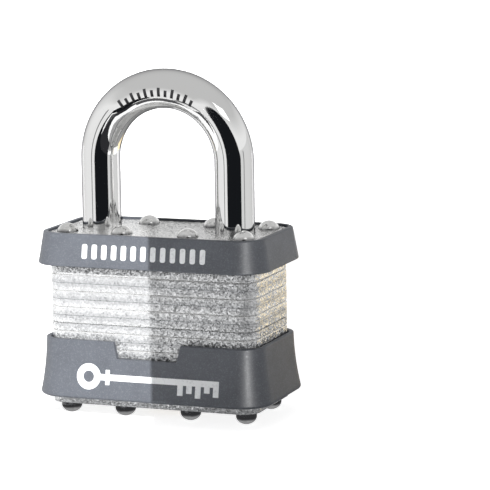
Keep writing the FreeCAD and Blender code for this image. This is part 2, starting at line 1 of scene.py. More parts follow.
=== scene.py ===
"""The looks of a laminated padlock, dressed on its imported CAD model.

The plates, the chromed shackle, the moulded skirts and the lock's inner pieces keep their CAD shapes and get
their finishes here. The rivets, the marks printed on the skirts and the strokes on the shackle are modelled,
and a studio of cards, lamps and a flag gives the metal something to mirror.
"""

import json
import logging
import math
from contextlib import contextmanager
from dataclasses import dataclass, field
from enum import Enum
from typing import Iterable, Iterator, Sequence

import bmesh
import bpy
from mathutils import Matrix, Vector


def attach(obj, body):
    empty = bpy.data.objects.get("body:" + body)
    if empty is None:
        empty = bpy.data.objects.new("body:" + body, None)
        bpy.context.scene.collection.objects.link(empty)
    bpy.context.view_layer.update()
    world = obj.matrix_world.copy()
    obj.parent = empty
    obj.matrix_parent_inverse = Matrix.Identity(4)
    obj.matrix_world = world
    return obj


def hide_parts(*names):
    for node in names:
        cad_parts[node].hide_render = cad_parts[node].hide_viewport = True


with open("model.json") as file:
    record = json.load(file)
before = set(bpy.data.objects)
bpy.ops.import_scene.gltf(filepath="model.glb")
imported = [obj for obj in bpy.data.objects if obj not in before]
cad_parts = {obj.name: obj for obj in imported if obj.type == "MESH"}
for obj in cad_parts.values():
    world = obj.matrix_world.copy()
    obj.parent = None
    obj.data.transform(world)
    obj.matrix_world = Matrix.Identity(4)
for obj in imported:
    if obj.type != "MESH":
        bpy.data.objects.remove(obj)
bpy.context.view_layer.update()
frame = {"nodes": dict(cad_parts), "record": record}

MM = 0.001
STACK_FOOT = 2.7 * MM
PLATE_PITCH = 1.64 * MM
PLATE_COUNT = 21
ARCH_CENTRE = 51.21 * MM
STROKES_FROM = -38.0
STROKES_TO = 33.0
IN_FRONT = -20.0 * MM
CARD_LOW = 0.5 * MM
CARD_SIDE = 68.0 * MM
BOX_LOW = 165.0 * MM
BOX_HIGH = 235.0 * MM
SMOOTH_UP_TO = math.radians(35.0)
UPRIGHT = (math.pi / 2, 0.0, 0.0)
HIDDEN_FROM = ("camera", "diffuse", "transmission", "volume_scatter")
LOG = logging.getLogger("padlock")

Colour = tuple[float, float, float]
Material = bpy.types.Material
Node = bpy.types.Node
Outputs = bpy.types.NodeOutputs
Pair = tuple[float, float]
Piece = bpy.types.Object
Point = tuple[float, float, float]
Socket = bpy.types.NodeSocket
Tint = tuple[float, Colour]


class Grain(Enum):
    """How a finish's surface is broken up: size of the grain in grains per metre, and how deep it is."""

    FINE = (9000.0, 0.004 * MM)
    MOULDED = (5200.0, 0.008 * MM)
    GALVANISED = (3900.0, 0.03 * MM)
    POLISHED = (900.0, 0.0012 * MM)
    HAMMERED = (2400.0, 0.09 * MM)


class Tree:
    """A node tree with short ways to add and join nodes."""

    def __init__(self, tree: bpy.types.NodeTree) -> None:
        """Wraps a tree.

        Args:
            tree: The material's or group's node tree.
        """
        self.tree = tree
        self.tree.nodes.clear()

    def add(self, kind: str, **settings: object) -> Node:
        """Adds a node.

        Args:
            kind: The node's type name without the ShaderNode prefix, or its whole name for group nodes.
            **settings: Properties to set on the node.

        Returns:
            The new node.
        """
        name = kind if kind.startswith("Node") else f"ShaderNode{kind}"
        node = self.tree.nodes.new(name)
        for key, value in settings.items():
            setattr(node, key, value)
        return node

    def feed(self, source: "Socket | float | Sequence[float]", target: Socket) -> None:
        """Joins a socket to another, or sets the target's own value.

        Args:
            source: A socket or a plain value.
            target: The input that takes it.
        """
        if isinstance(source, Socket):
            self.tree.links.new(source, target)
        else:
            target.default_value = source

    def math(self, operation: str, *values: "Socket | float", clamp: bool = False) -> Socket:
        """Adds a Math node.

        Args:
            operation: The node's operation, such as MULTIPLY.
            *values: Its inputs, as sockets or numbers.
            clamp: Whether the result is kept from 0 to 1.

        Returns:
            The node's result.
        """
        node = self.add("Math", operation=operation, use_clamp=clamp)
        for value, target in zip(values, node.inputs):
            self.feed(value, target)
        return node.outputs[0]

    def mix(self, factor: "Socket | float", low: "Socket | Colour", high: "Socket | Colour") -> Socket:
        """Mixes two colours.

        Args:
            factor: 0 gives low and 1 gives high.
            low: First colour.
            high: Second colour.

        Returns:
            The mixed colour.
        """
        node = self.add("Mix", data_type="RGBA")
        self.feed(factor, node.inputs[0])
        for value, target in ((low, node.inputs[6]), (high, node.inputs[7])):
            self.feed(value if isinstance(value, Socket) else (*value, 1.0), target)
        return node.outputs[2]

    def spread(self, value: Socket, low: float, high: float, start: float = 0.3, end: float = 0.7) -> Socket:
        """Maps a value from start..end to low..high.

        Args:
            value: The value to map.
            low: Result at start.
            high: Result at end.
            start: Lower end of the values used.
            end: Upper end of the values used.

        Returns:
            The mapped value.
        """
        node = self.add("MapRange", clamp=True)
        for number, item in enumerate((value, start, end, low, high)):
            self.feed(item, node.inputs[number])
        return node.outputs[0]

    def noise(
        self, where: Socket, scale: "Socket | float", detail: float = 3.0, rough: float = 0.6
    ) -> Socket:
        """Adds a noise texture.

        Args:
            where: Coordinates.
            scale: Grains per metre.
            detail: Number of finer layers.
            rough: Strength of the finer layers.

        Returns:
            The noise value.
        """
        node = self.add("TexNoise")
        self.feed(where, node.inputs["Vector"])
        self.feed(scale, node.inputs["Scale"])
        node.inputs["Detail"].default_value = detail
        node.inputs["Roughness"].default_value = rough
        return node.outputs["Fac"]

    def place(self) -> Socket:
        """Returns the Object coordinates."""
        return self.add("TexCoord").outputs["Object"]

    def axes(self, vector: Socket) -> Outputs:
        """Splits a vector.

        Args:
            vector: The vector.

        Returns:
            Its x, y and z.
        """
        node = self.add("SeparateXYZ")
        self.feed(vector, node.inputs[0])
        return node.outputs

    def level(self) -> Socket:
        """Returns 1 where the surface is level, down to 0 where it is upright."""
        return self.math("ABSOLUTE", self.axes(self.add("NewGeometry").outputs["Normal"])[2])

    def vector(self, operation: str, *values: "Socket | Point") -> Socket:
        """Adds a Vector Math node.

        Args:
            operation: The node's operation, such as ADD.
            *values: Its inputs, as sockets or vectors.

        Returns:
            The node's result.
        """
        node = self.add("VectorMath", operation=operation)
        for value, target in zip(values, node.inputs):
            self.feed(value, target)
        return node.outputs[0]

    def total(self, base: Socket, *parts: tuple[Socket, float]) -> Socket:
        """Adds shares of other values to a value.

        Args:
            base: The value.
            *parts: Other values, each with the share of it that is added.

        Returns:
            The sum.
        """
        for value, share in parts:
            base = self.math("ADD", base, self.math("MULTIPLY", value, share))
        return base

    def tint(self, base: Socket, where: Socket, tint: Tint) -> Socket:
        """Tints a colour.

        Args:
            base: The colour.
            where: Where the tint shows, from 0 to 1.
            tint: How strongly it shows there, and its colour.

        Returns:
            The tinted colour.
        """
        strength, colour = tint
        return self.mix(self.math("MULTIPLY", where, strength), base, colour)

    def show(self, shader: Node) -> None:
        """Makes a shader the material's output.

        Args:
            shader: The shader node.
        """
        self.feed(shader.outputs[0], self.add("OutputMaterial").inputs[0])


def new_material(name: str) -> tuple[Material, Tree]:
    """Makes an empty material.

    Args:
        name: Its name.

    Returns:
        The material and its tree.
    """
    made = bpy.data.materials.new(name)
    made.use_nodes = True
    return made, Tree(made.node_tree)


class Group:
    """A shader node group with named inputs and outputs."""

    def __init__(self, name: str, inputs: dict[str, float], outputs: Sequence[str]) -> None:
        """Makes the group with its sockets.

        Args:
            name: The group's name.
            inputs: Names of its number inputs and their usual values.
            outputs: Names of its number outputs.
        """
        self.group = bpy.data.node_groups.new(name, "ShaderNodeTree")
        for label, value in inputs.items():
            socket = self.group.interface.new_socket(label, in_out="INPUT", socket_type="NodeSocketFloat")
            socket.default_value = value
        for label in outputs:
            self.group.interface.new_socket(label, in_out="OUTPUT", socket_type="NodeSocketFloat")
        self.tree = Tree(self.group)
        self.inside = self.tree.add("NodeGroupInput").outputs
        self.result = self.tree.add("NodeGroupOutput").inputs

    def add_vector(self, label: str) -> None:
        """Adds a vector output.

        Args:
            label: Its name.
        """
        self.group.interface.new_socket(label, in_out="OUTPUT", socket_type="NodeSocketVector")

    def use(self, tree: Tree, **values: float) -> Outputs:
        """Places the group in a tree.

        Args:
            tree: The tree that uses it.
            **values: Values for its inputs, with underscores for spaces.

        Returns:
            The group node's outputs.
        """
        node = tree.add("Group", node_tree=self.group)
        for label, value in values.items():
            node.inputs[label.replace("_", " ")].default_value = value
        return node.outputs


class Effects:
    """The surface effects that several finishes share, each built once."""

    WANDER_GRAINS = 160.0
    WANDER = 0.09 * MM
    TEAR_GRAINS = 2400.0
    TEAR_SPREAD = 1.1
    TEAR_SHARE = 0.56
    TEAR_SHARPNESS = 5.0
    BAND_ENDS = (0.46, 0.62)
    BAND_SIDES = (1.0 * MM, 2.6 * MM)
    SCUFF_SHARPNESS = 9.0

    def __init__(self) -> None:
        """Builds every group."""
        self.grain = self.build_grain()
        self.seams = self.build_seams()
        self.pressed = self.build_pressed()
        self.scuffs = self.build_scuffs()

    @staticmethod
    def build_grain() -> Group:
        """Returns a group of fine grain over slow mottling."""
        made = Group("surface grain", {"Grains": 4000.0, "Patches": 140.0}, ("Grain", "Mottle", "Sparkle"))
        made.add_vector("Facet")
        tree, where = made.tree, made.tree.place()
        tree.feed(tree.noise(where, made.inside["Grains"], 2.0, 0.7), made.result["Grain"])
        tree.feed(tree.noise(where, made.inside["Patches"], 4.0, 0.55), made.result["Mottle"])
        cells = tree.add("TexVoronoi", feature="F1")
        tree.feed(where, cells.inputs["Vector"])
        tree.feed(made.inside["Grains"], cells.inputs["Scale"])
        level = tree.add("SeparateColor")
        tree.feed(cells.outputs["Color"], level.inputs[0])
        tree.feed(level.outputs[0], made.result["Sparkle"])
        tree.feed(tree.vector("SUBTRACT", cells.outputs["Color"], (0.5, 0.5, 0.5)), made.result["Facet"])
        return made

    @classmethod
    def build_seams(cls) -> Group:
        """Returns a group that marks the plates' seams, a tone for each plate, and its edge's torn part.

        A stamped edge is smooth next to its rolled side and torn next to its sheared side. The plates lie
        alternately one way up and the other, and the stack is turned over once.
        """
        made = Group(
            "plate seams",
            {"Foot": STACK_FOOT, "Pitch": PLATE_PITCH, "Width": 0.11 * MM, "Turned over": 10.0},
            ("Seam", "Plate", "Torn"),
        )
        tree, where, inside = made.tree, made.tree.place(), made.inside
        wander = tree.math("SUBTRACT", tree.noise(where, cls.WANDER_GRAINS, 2.0), 0.5)
        lift = tree.math("MULTIPLY", wander, cls.WANDER)
        height = tree.math("ADD", tree.math("SUBTRACT", tree.axes(where)[2], inside["Foot"]), lift)
        count = tree.math("DIVIDE", height, inside["Pitch"])
        off_seam = tree.math("ABSOLUTE", tree.math("SUBTRACT", count, tree.math("ROUND", count)))
        away = tree.math("DIVIDE", tree.math("MULTIPLY", off_seam, inside["Pitch"]), inside["Width"])
        tree.feed(tree.math("SUBTRACT", 1.0, away, clamp=True), made.result["Seam"])
        plate = tree.math("FLOOR", count)
        odd = tree.math("MODULO", plate, 2.0)
        over = tree.math("GREATER_THAN", plate, tree.math("SUBTRACT", inside["Turned over"], 0.5))
        rolled_down = tree.math("ABSOLUTE", tree.math("SUBTRACT", odd, over))
        from_foot = tree.math("SUBTRACT", count, plate)
        to_rolled = tree.math("ABSOLUTE", tree.math("SUBTRACT", from_foot, rolled_down))
        rough_line = tree.math("SUBTRACT", tree.noise(where, cls.TEAR_GRAINS), 0.5)
        ragged = tree.math("MULTIPLY", rough_line, cls.TEAR_SPREAD)
        torn = tree.math("SUBTRACT", tree.math("ADD", ragged, cls.TEAR_SHARE), to_rolled)
        tree.feed(tree.math("MULTIPLY", torn, cls.TEAR_SHARPNESS, clamp=True), made.result["Torn"])
        pick = tree.add("TexWhiteNoise", noise_dimensions="1D")
        tree.feed(plate, pick.inputs["W"])
        tree.feed(pick.outputs["Value"], made.result["Plate"])
        return made

    @classmethod
    def build_pressed(cls) -> Group:
        """Returns a group that is 1 on the band of the arch's front that the stamping has pressed flatter."""
        made = Group(
            "pressed band",
            {"Centre": ARCH_CENTRE, "Middle": 14.1 * MM, "First": STROKES_FROM, "Last": STROKES_TO},
            ("Pressed",),
        )
        tree, inside = made.tree, made.inside
        across, deep, up = tree.axes(tree.place())
        rise = tree.math("SUBTRACT", up, inside["Centre"])
        square = tree.math("ADD", tree.math("POWER", across, 2.0), tree.math("POWER", rise, 2.0))
        angle = tree.math("DEGREES", tree.math("ARCTAN2", across, rise))
        span = tree.math("SUBTRACT", inside["Last"], inside["First"])
        turn = tree.math("DIVIDE", tree.math("SUBTRACT", angle, inside["First"]), span)
        off_middle = tree.math("ABSOLUTE", tree.math("SUBTRACT", turn, 0.5))
        off_band = tree.math("ABSOLUTE", tree.math("SUBTRACT", tree.math("SQRT", square), inside["Middle"]))
        along = tree.spread(off_middle, 1.0, 0.0, *cls.BAND_ENDS)
        flat = tree.math("MULTIPLY", along, tree.spread(off_band, 1.0, 0.0, *cls.BAND_SIDES))
        tree.feed(tree.math("MULTIPLY", flat, tree.math("LESS_THAN", deep, 0.0)), made.result["Pressed"])
        return made

    @classmethod
    def build_scuffs(cls) -> Group:
        """Returns a group of sparse thin scratches that run mostly one way."""
        made = Group("scuffs", {"Along": 300.0, "Across": 5200.0, "Share": 0.68}, ("Scuff",))
        tree = made.tree
        stretch = tree.add("CombineXYZ")
        for label, target in zip(("Along", "Along", "Across"), stretch.inputs):
            tree.feed(made.inside[label], target)
        lines = tree.noise(tree.vector("MULTIPLY", tree.place(), stretch.outputs[0]), 1.0, 1.0)
        edge = tree.math("SUBTRACT", lines, made.inside["Share"])
        tree.feed(tree.math("MULTIPLY", edge, cls.SCUFF_SHARPNESS, clamp=True), made.result["Scuff"])
        return made


@dataclass(frozen=True)
class Finish:
    """A surface finish; its subclasses draw the nodes that vary over the surface."""

    name: str
    effects: Effects
    colour: Colour
    rough: float
    metal: float = 1.0
    grain: Grain = Grain.FINE
    patches: float = 160.0
    shade: float = 0.8
    rough_range: Pair = (0.8, 1.2)

    def material(self) -> Material:
        """Returns a new material of this finish."""
        made, tree = new_material(self.name)
        shader = tree.add("BsdfPrincipled")
        shader.inputs["Metallic"].default_value = self.metal
        self.dress(tree, shader)
        tree.show(shader)
        return made

    def dress(self, tree: Tree, shader: Node) -> None:
        """Feeds the shader's colour, roughness and normal.

        Args:
            tree: The material's tree.
            shader: Its Principled shader.
        """
        surface = self.surface(tree)
        tree.feed(self.mottled(tree, surface["Mottle"]), shader.inputs["Base Color"])
        tree.feed(self.roughness(tree, surface["Grain"]), shader.inputs["Roughness"])
        self.relief(tree, shader, surface["Grain"])

    def surface(self, tree: Tree) -> Outputs:
        """Places the finish's grain.

        Args:
            tree: The material's tree.

        Returns:
            The grain group's outputs.
        """
        return self.effects.grain.use(tree, Grains=self.grain.value[0], Patches=self.patches)

    def mottled(self, tree: Tree, mottle: Socket, *ends: float) -> Socket:
        """Mixes the finish's colour with its darker shade.

        Args:
            tree: The material's tree.
            mottle: The value that is darker where it is low.
            *ends: Where it is darkest, and where it has its own colour.

        Returns:
            The colour.
        """
        darker = tuple(c * self.shade for c in self.colour)
        return tree.mix(tree.spread(mottle, 0.0, 1.0, *ends), darker, self.colour)

    def roughness(self, tree: Tree, value: Socket, *ends: float) -> Socket:
        """Varies the finish's roughness over its range.

        Args:
            tree: The material's tree.
            value: The value that it follows.
            *ends: Where it is smoothest and roughest.

        Returns:
            The roughness.
        """
        low, high = (self.rough * share for share in self.rough_range)
        return tree.spread(value, low, high, *ends)

    def relief(self, tree: Tree, shader: Node, height: Socket, strength: float = 1.0) -> None:
        """Raises the surface by a height, as deep as the finish's grain.

        Args:
            tree: The material's tree.
            shader: The shader whose Normal is fed.
            height: Height from 0 to 1.
            strength: How much of the relief shows.
        """
        bump = tree.add("Bump")
        bump.inputs["Distance"].default_value = self.grain.value[1]
        bump.inputs["Strength"].default_value = strength
        tree.feed(height, bump.inputs["Height"])
        tree.feed(bump.outputs[0], shader.inputs["Normal"])

    @staticmethod
    def lean(tree: Tree, shader: Node, amount: Socket) -> None:
        """Leans the surface, on top of the relief.

        Args:
            tree: The material's tree.
            shader: The shader whose Normal is already fed.
            amount: Vector that is added to the normal.
        """
        leaned = tree.vector("ADD", shader.inputs["Normal"].links[0].from_socket, amount)
        tree.feed(tree.vector("NORMALIZE", leaned), shader.inputs["Normal"])


@dataclass(frozen=True)
class PlateSteel(Finish):
    """Zinc-coated steel whose stamped edges show grain, seams and a slight difference from plate to plate."""

    patches: float = 420.0
    rough_range: Pair = (0.72, 1.35)
    facets: float = 0.9
    level_facets: float = 0.3
    level_from: float = 0.6
    sparkle: Tint = (0.4, (0.97, 0.97, 0.96))
    plate: Tint = (0.3, (0.4, 0.41, 0.42))
    seam: Tint = (0.75, (0.07, 0.07, 0.075))
    torn: Tint = (0.35, (0.36, 0.37, 0.385))
    # Painted light: this tint lightens the level faces, the top plate's above all, as if lit from overhead.
    level: Tint = (0.7, (0.97, 0.97, 0.96))
    torn_rough: float = 0.1
    scuff_rough: float = -0.08
    sparkle_height: float = 0.5
    scuff_height: float = -0.4
    seam_height: float = -0.6

    def dress(self, tree: Tree, shader: Node) -> None:
        """Feeds the shader, with the arguments of Finish.dress."""
        surface, seams = self.surface(tree), self.effects.seams.use(tree)
        sparkle, seam = surface["Sparkle"], seams["Seam"]
        scuff = self.effects.scuffs.use(tree, Along=500.0, Across=3800.0, Share=0.6)["Scuff"]
        edge = tree.math("LESS_THAN", tree.level(), self.level_from)
        flat = tree.math("SUBTRACT", 1.0, edge)
        torn = tree.math("MULTIPLY", seams["Torn"], edge)
        base = self.mottled(tree, surface["Mottle"], 0.25, 0.75)
        # The last tint is painted light on the level faces.
        tints = (self.sparkle, self.plate, self.seam, self.torn, self.level)
        for where, tint in zip((sparkle, seams["Plate"], seam, torn, flat), tints):
            base = tree.tint(base, where, tint)
        tree.feed(base, shader.inputs["Base Color"])
        rough = self.roughness(tree, sparkle, 0.0, 1.0)
        rough = tree.total(rough, (torn, self.torn_rough), (scuff, self.scuff_rough))
        tree.feed(rough, shader.inputs["Roughness"])
        heights = ((sparkle, self.sparkle_height), (scuff, self.scuff_height), (seam, self.seam_height))
        self.relief(tree, shader, tree.total(surface["Grain"], *heights))
        tilt = tree.add("VectorMath", operation="SCALE")
        tree.feed(surface["Facet"], tilt.inputs[0])
        amount = tree.spread(edge, self.facets * self.level_facets, self.facets, 0.0, 1.0)
        tree.feed(amount, tilt.inputs["Scale"])
        self.lean(tree, shader, tilt.outputs[0])


@dataclass(frozen=True)
class RivetSteel(Finish):
    """Bright rivet steel with painted shade: its steep sides are painted darker, as if the light can't reach
    round the edge.
    """

    patches: float = 700.0
    rough_range: Pair = (0.7, 1.3)
    # Dark colour of the painted shade on the steep sides; it also flecks a few grains a little darker.
    shade_and_wear: Colour = (0.1, 0.1, 0.105)
    shaded_slopes: Pair = (0.42, 0.72)
    ragged: float = 0.3
    worn: float = 0.88

    def dress(self, tree: Tree, shader: Node) -> None:
        """Feeds the shader, with the arguments of Finish.dress."""
        surface = self.surface(tree)
        # Painted shade: the steeper the side, the more it is mixed towards the dark colour.
        facing = tree.total(tree.level(), (surface["Mottle"], self.ragged))
        base = tree.mix(tree.spread(facing, 0.0, 1.0, *self.shaded_slopes), self.shade_and_wear, self.colour)
        kept = tree.spread(surface["Sparkle"], self.worn, 1.0, 0.0, 1.0)
        tree.feed(tree.mix(kept, self.shade_and_wear, base), shader.inputs["Base Color"])
        tree.feed(self.roughness(tree, surface["Grain"]), shader.inputs["Roughness"])
        self.relief(tree, shader, surface["Mottle"])


@dataclass(frozen=True)
class Chrome(Finish):
    """Bright chrome plate with a slow ripple, hairline scuffs and the flatter band pressed into the arch."""

    patches: float = 90.0
    rough_range: Pair = (0.6, 1.5)
    edge: Colour = (0.16, 0.16, 0.17)
    scuff_rough: float = 0.06
    press: float = 0.3

    def dress(self, tree: Tree, shader: Node) -> None:
        """Feeds the shader, with the arguments of Finish.dress."""
        surface = self.surface(tree)
        scuff = self.effects.scuffs.use(tree, Along=2400.0, Across=120.0, Share=0.7)["Scuff"]
        shader.inputs["Base Color"].default_value = (*self.colour, 1.0)
        shader.inputs["Specular Tint"].default_value = (*self.edge, 1.0)
        rough = tree.total(self.roughness(tree, surface["Mottle"]), (scuff, self.scuff_rough))
        tree.feed(rough, shader.inputs["Roughness"])
        self.relief(tree, shader, surface["Mottle"])
        up = tree.add("CombineXYZ")
        pressed = self.effects.pressed.use(tree)["Pressed"]
        tree.feed(tree.math("MULTIPLY", pressed, self.press), up.inputs[2])
        self.lean(tree, shader, up.outputs[0])


@dataclass(frozen=True)
class MouldedPlastic(Finish):
    """Satin grey plastic with a pearly fine grain and rubbed patches."""

    patches: float = 210.0
    shade: float = 0.86
    rough_range: Pair = (0.85, 1.2)
    pearl: Tint = (0.13, (0.42, 0.44, 0.48))
    pearl_power: float = 4.0
    scuff_rough: float = -0.07
    mirror: float = 0.32
    relief_share: float = 0.8

    def dress(self, tree: Tree, shader: Node) -> None:
        """Feeds the shader, with the arguments of Finish.dress."""
        surface = self.surface(tree)
        scuff = self.effects.scuffs.use(tree, Along=210.0, Across=2100.0, Share=0.66)["Scuff"]
        pearls = tree.math("POWER", surface["Sparkle"], self.pearl_power)
        base = tree.tint(self.mottled(tree, surface["Mottle"]), pearls, self.pearl)
        tree.feed(base, shader.inputs["Base Color"])
        rough = tree.total(self.roughness(tree, surface["Grain"]), (scuff, self.scuff_rough))
        tree.feed(rough, shader.inputs["Roughness"])
        shader.inputs["Specular IOR Level"].default_value = self.mirror
        self.relief(tree, shader, surface["Grain"], self.relief_share)


@dataclass(frozen=True)
class PrintInk(Finish):
    """White pad-printed ink, thin in places so that the plastic shows through a little."""

    patches: float = 1500.0
    rough_range: Pair = (1.0, 1.3)
    under: Colour = (0.16, 0.17, 0.2)
    thinnest: float = 0.22
    thin_range: Pair = (0.3, 0.46)

    def dress(self, tree: Tree, shader: Node) -> None:
        """Feeds the shader, with the arguments of Finish.dress."""
        surface = self.surface(tree)
        thin = tree.spread(surface["Mottle"], self.thinnest, 0.0, *self.thin_range)
        tree.feed(tree.mix(thin, self.colour, self.under), shader.inputs["Base Color"])
        tree.feed(self.roughness(tree, surface["Grain"]), shader.inputs["Roughness"])
        self.relief(tree, shader, surface["Grain"])


class Bench:
    """Ways to model with Blender's own operators."""

    @staticmethod
    def clear() -> None:
        """Deselects everything."""
        if bpy.context.mode != "OBJECT":
            bpy.ops.object.mode_set(mode="OBJECT")
        bpy.ops.object.select_all(action="DESELECT")

    @staticmethod
    @contextmanager
    def editing(piece: Piece) -> Iterator[None]:
        """Edits a piece with the whole of it selected, and then leaves edit mode.

        Args:
            piece: The piece.

        Yields:
            Nothing; the piece is in edit mode meanwhile.
        """
        bpy.context.view_layer.objects.active = piece
        bpy.ops.object.mode_set(mode="EDIT")
        bpy.ops.mesh.select_all(action="SELECT")
        yield
        bpy.ops.object.mode_set(mode="OBJECT")

    @staticmethod
    def start(name: str) -> Piece:
        """Names the primitive just added and puts its place in its mesh.

        Args:
            name: The piece's name.

        Returns:
            The piece.
        """
        piece = bpy.context.object
        piece.name = piece.data.name = name
        bpy.ops.object.transform_apply(location=True, rotation=True, scale=True)
        return piece

    @classmethod
    def strip(cls, name: str, low: Pair, high: Pair, y: float) -> Piece:
        """Adds an upright flat rectangle that faces the front.

        Args:
            name: The piece's name.
            low: Its lower left corner, as x and z.
            high: Its upper right corner, as x and z.
            y: Where it stands.

        Returns:
            The piece.
        """
        cls.clear()
        middle = ((low[0] + high[0]) / 2, y, (low[1] + high[1]) / 2)
        bpy.ops.mesh.primitive_plane_add(size=1.0, location=middle, rotation=UPRIGHT)
        bpy.context.object.scale = (high[0] - low[0], high[1] - low[1], 1.0)
        return cls.start(name)

    @classmethod
    def dome(
        cls, name: str, centre: Point, radius: float, squash: float, cut: float, keep_top: bool
    ) -> Piece:
        """Adds part of a ball, cut level and closed.

        Args:
            name: The piece's name.
            centre: Middle of the ball.
            radius: Its radius.
            squash: Its height as a share of its width.
            cut: Height of the cut.
            keep_top: Whether the part above the cut is kept, and not the part below.

        Returns:
            The piece.
        """
        cls.clear()
        bpy.ops.mesh.primitive_uv_sphere_add(segments=40, ring_count=28, radius=radius, location=centre)
        bpy.context.object.scale = (1.0, 1.0, squash)
        piece = cls.start(name)
        with cls.editing(piece):
            bpy.ops.mesh.bisect(
                plane_co=(0.0, 0.0, cut),
                plane_no=(0.0, 0.0, 1.0),
                use_fill=True,
                clear_inner=keep_top,
                clear_outer=not keep_top,
            )
        bpy.ops.object.shade_smooth_by_angle(angle=SMOOTH_UP_TO)
        return piece

    @classmethod
    def stretch_rim(cls, piece: Piece, rise: float) -> None:
        """Extrudes a cut dome's flat side straight up.

        Args:
            piece: The dome, whose flat side faces up.
            rise: How far it is extruded.
        """
        cls.clear()
        piece.select_set(True)
        bpy.context.view_layer.objects.active = piece
        for polygon in piece.data.polygons:
            polygon.select = polygon.normal.z > 0.99
        bpy.ops.object.mode_set(mode="EDIT")
        bpy.ops.mesh.select_mode(type="FACE")
        bpy.ops.mesh.extrude_region_move(TRANSFORM_OT_translate={"value": (0.0, 0.0, rise)})
        bpy.ops.object.mode_set(mode="OBJECT")
        bpy.ops.object.shade_smooth_by_angle(angle=SMOOTH_UP_TO)

    @classmethod
    def join(cls, pieces: Sequence[Piece], name: str) -> Piece:
        """Joins pieces into one.

        Args:
            pieces: The pieces; the first keeps its place in the file.
            name: Name of the result.

        Returns:
            The joined piece.
        """
        cls.clear()
        for piece in pieces:
            piece.select_set(True)
        bpy.context.view_layer.objects.active = pieces[0]
        bpy.ops.object.join()
        pieces[0].name = pieces[0].data.name = name
        return pieces[0]

    @classmethod
    def lay_on(cls, piece: Piece, wall: Piece, lift: float, thick: float) -> None:
        """Lays a flat piece on the front of a wall and gives it a thickness.

        Args:
            piece: The flat piece, standing in front of the wall.
            wall: The object it is laid on.
            lift: Gap left under it.
            thick: Its thickness.
        """
        cls.clear()
        piece.select_set(True)
        bpy.context.view_layer.objects.active = piece
        wrap = piece.modifiers.new("lay", "SHRINKWRAP")
        wrap.target = wall
        wrap.wrap_method = "PROJECT"
        wrap.wrap_mode = "ABOVE_SURFACE"
        wrap.use_project_y = True
        wrap.use_positive_direction = True
        wrap.use_negative_direction = False
        wrap.offset = lift
        bpy.ops.object.modifier_apply(modifier=wrap.name)
        skin = piece.modifiers.new("thickness", "SOLIDIFY")
        skin.thickness = thick
        skin.offset = 1.0
        bpy.ops.object.modifier_apply(modifier=skin.name)
        with cls.editing(piece):
            bpy.ops.mesh.normals_make_consistent(inside=False)

    @staticmethod
    def coat(piece: Piece, finish: Material) -> None:
        """Gives a modelled piece its only material.

        Args:
            piece: The piece.
            finish: Its material.
        """
        piece.data.materials.clear()
        piece.data.materials.append(finish)
        LOG.info("%s: %s, %d faces", piece.name, finish.name, len(piece.data.polygons))


def dress_nodes(names: Iterable[str], finish: Material) -> None:
    """Gives CAD nodes a finish.

    Args:
        names: The nodes.
        finish: Their material.
    """
    for name in names:
        for slot in frame["nodes"][name].material_slots:
            slot.material = finish
        LOG.info("%s: %s", name, finish.name)


def nodes_in_slot(slot: str) -> list[str]:
    """Finds the CAD nodes that the record gives a material slot.

    Args:
        slot: The material slot.

    Returns:
        The nodes' names.
    """
    return [item["node"] for item in frame["record"]["subparts"] if item["material_slot"] == slot]


@dataclass
class Case:
    """The riveted stack of plates."""

    effects: Effects
    plate_colour: Colour = (0.9, 0.91, 0.92)
    plate_rough: float = 0.1
    plate_metal: float = 0.72
    rivet_colour: Colour = (0.92, 0.92, 0.91)
    rivet_rough: float = 0.09
    rivet_spans: Pair = (38.0 * MM, 14.2 * MM)
    rivet_rows: float = 14.0 * MM
    rivet_turn: float = 0.9
    shank: float = 1.6 * MM
    cap_radius: float = 2.2 * MM
    cap_height: float = 1.7 * MM
    foot_radius: float = 2.1 * MM
    foot_straight: float = 1.0 * MM
    overlap: float = 0.02 * MM
    stack_top: float = STACK_FOOT + PLATE_COUNT * PLATE_PITCH

    def build(self) -> None:
        """Gives the plates their finish and models the rivets."""
        colour, rough, metal = self.plate_colour, self.plate_rough, self.plate_metal
        plates = PlateSteel("zinc coated plate", self.effects, colour, rough, metal, Grain.GALVANISED)
        dress_nodes(nodes_in_slot("lamination_steel"), plates.material())
        colour, rough = self.rivet_colour, self.rivet_rough
        steel = RivetSteel("nickel rivet", self.effects, colour, rough, grain=Grain.HAMMERED)
        rivets = self.rivets()
        Bench.coat(rivets, steel.material())
        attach(rivets, "case")
        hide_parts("rivets")

    def rivets(self) -> Piece:
        """Models one rivet and copies it to its eight places.

        Returns:
            All the rivets as one piece.
        """
        first = self.rivet()
        made = []
        for span in self.rivet_spans:
            for side in (-1, 1):
                for row in (-1, 1):
                    copy = first.copy()
                    copy.data = first.data.copy()
                    spin = Matrix.Rotation(self.rivet_turn * len(made), 4, "Z")
                    move = Matrix.Translation((side * span / 2, row * self.rivet_rows / 2, 0.0))
                    copy.data.transform(move @ spin)
                    bpy.context.scene.collection.objects.link(copy)
                    made.append(copy)
        bpy.data.objects.remove(first)
        return Bench.join(made, "rivet_set")

    def rivet(self) -> Piece:
        """Models one rivet on the Z axis: a shank, a domed cap and a longer rounded foot.

        Returns:
            The rivet.
        """
        ball = (self.cap_radius**2 + self.cap_height**2) / (2 * self.cap_height)
        centre = self.stack_top + self.cap_height - ball
        cap = Bench.dome("cap", (0.0, 0.0, centre), ball, 1.0, self.stack_top - self.overlap, True)
        tip = STACK_FOOT - self.foot_straight
        foot = Bench.dome("foot", (0.0, 0.0, tip), self.foot_radius, tip / self.foot_radius, tip, False)
        Bench.stretch_rim(foot, STACK_FOOT - tip + self.overlap)
        Bench.clear()
        length = self.stack_top - STACK_FOOT
        middle = (0.0, 0.0, STACK_FOOT + length / 2)
        bpy.ops.mesh.primitive_cylinder_add(vertices=32, radius=self.shank, depth=length, location=middle)
        return Bench.join([cap, foot, Bench.start("shank")], "rivet")


